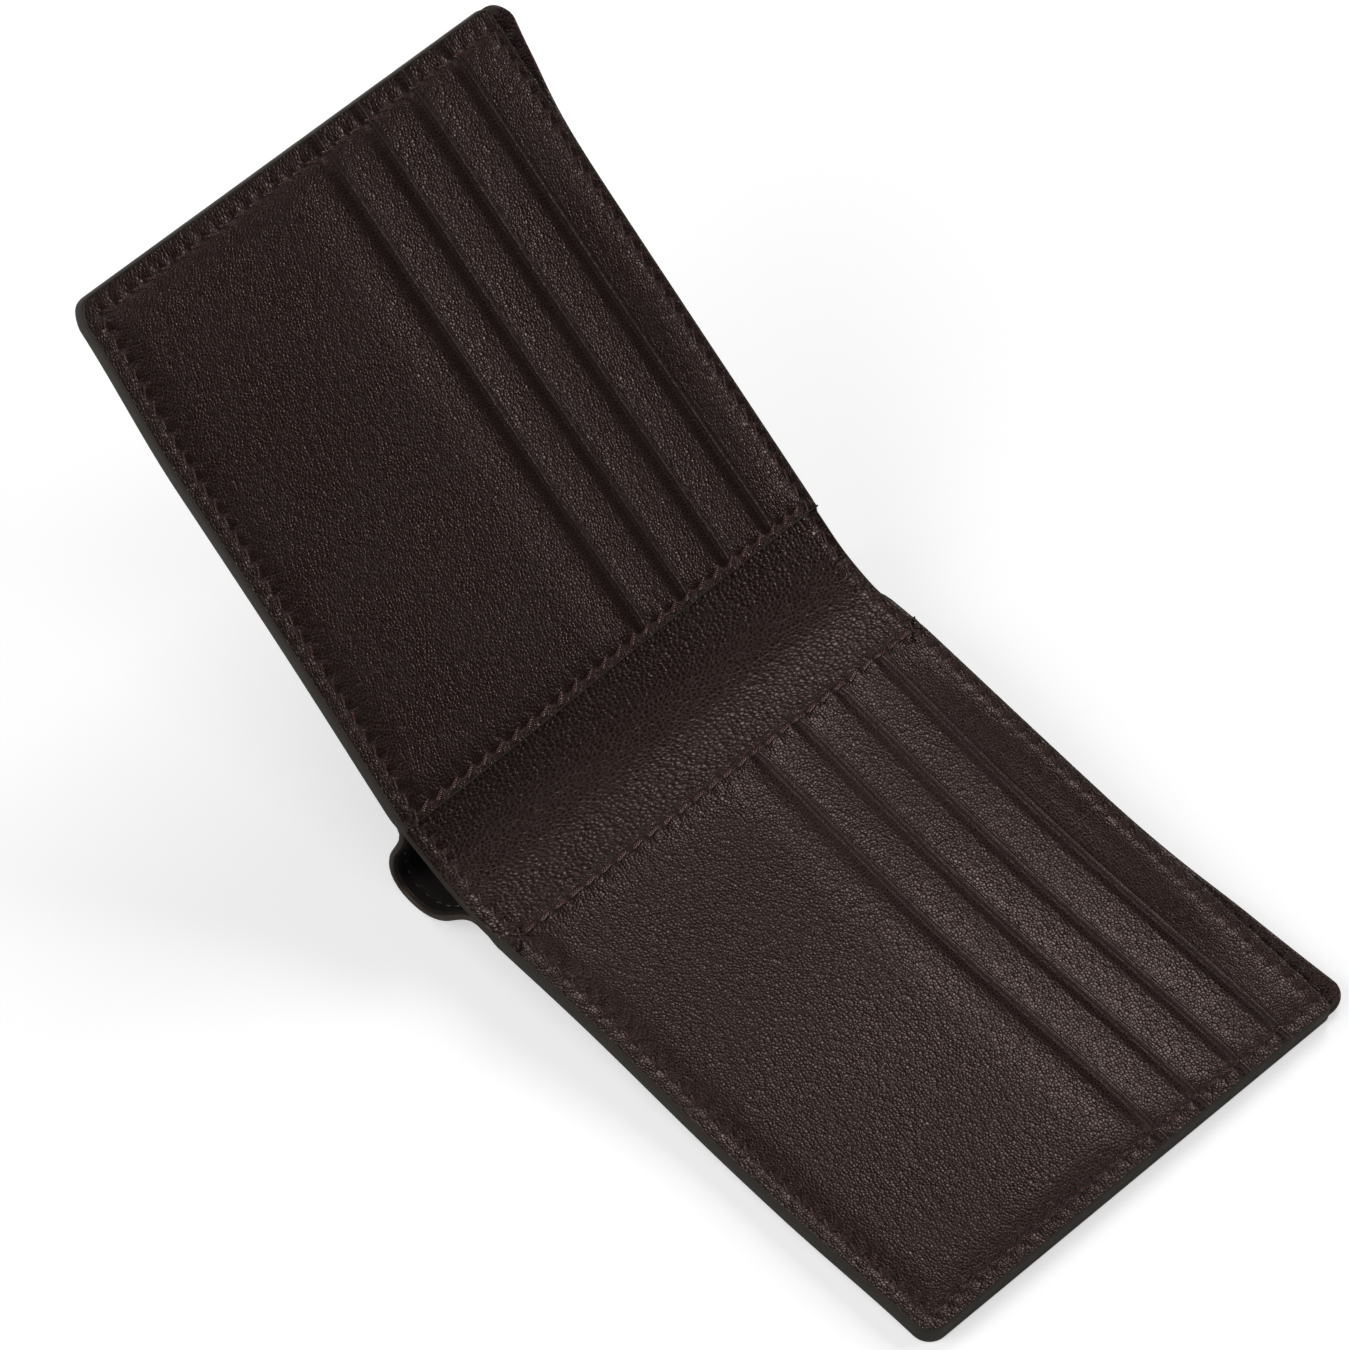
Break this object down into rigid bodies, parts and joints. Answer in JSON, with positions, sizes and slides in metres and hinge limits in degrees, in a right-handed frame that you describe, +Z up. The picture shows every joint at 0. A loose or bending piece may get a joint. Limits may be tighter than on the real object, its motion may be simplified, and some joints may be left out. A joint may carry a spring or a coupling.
{
  "type": "bifold wallet",
  "caption": "Open leather bifold wallet: two folding halves with cascading card pockets in front of a full-length banknote compartment.",
  "frame": {"origin": "on the surface the wallet stands on, under the middle of its length and height", "axes": "+X along the length towards the right half, +Y towards the mouth of the note compartment, +Z up"},
  "size_m": [0.1986, 0.09, 0.0852],
  "materials": {
    "cover_leather": "smooth fine-grained leather, semi-matt, dark brown, painted edges",
    "wall_leather": "smooth fine-grained leather, semi-matt, dark brown",
    "pocket_leather": "smooth fine-grained leather, semi-matt, dark brown, turned edges",
    "lining_fabric": "plain woven lining, dark brown, matt",
    "carrier_fabric": "thin plain woven lining, dark brown, matt"
  },
  "bodies": {
    "right_half": {"right_outer_cover": "cover_leather", "right_cover_lining": "lining_fabric", "right_wall_lining": "lining_fabric", "right_inner_wall": "wall_leather", "right_panel_back": "pocket_leather", "right_rear_pocket": "pocket_leather", "right_rear_carrier": "carrier_fabric", "right_third_pocket": "pocket_leather", "right_third_carrier": "carrier_fabric", "right_second_pocket": "pocket_leather", "right_second_carrier": "carrier_fabric", "right_front_pocket": "pocket_leather", "right_top_band": "pocket_leather"},
    "spine": {"spine_cover_loop": "cover_leather", "spine_cover_lining": "lining_fabric", "spine_wall_lining": "lining_fabric", "spine_inner_wall": "wall_leather"},
    "left_half": {"left_outer_cover": "cover_leather", "left_cover_lining": "lining_fabric", "left_wall_lining": "lining_fabric", "left_inner_wall": "wall_leather", "left_panel_back": "pocket_leather", "left_rear_pocket": "pocket_leather", "left_rear_carrier": "carrier_fabric", "left_third_pocket": "pocket_leather", "left_third_carrier": "carrier_fabric", "left_second_pocket": "pocket_leather", "left_second_carrier": "carrier_fabric", "left_front_pocket": "pocket_leather", "left_top_band": "pocket_leather"}
  },
  "joints": [
    {"name": "fold", "type": "hinge", "parent": "right_half", "child": "spine", "pos_m": [-0.0087, 0, 0.01204], "axis": [0, 1, 0], "range_deg": [-17.5, 72.5], "deforming": ["spine_cover_loop", "spine_cover_lining"]},
    {"name": "fold_follow", "type": "hinge", "parent": "spine", "child": "left_half", "pos_m": [-0.01425, 0, 0.01432], "axis": [0, 1, 0], "range_deg": [-17.5, 72.5]}
  ],
  "couplings": [
    {"joint": "fold_follow", "follows": "fold", "ratio": 1}
  ]
}
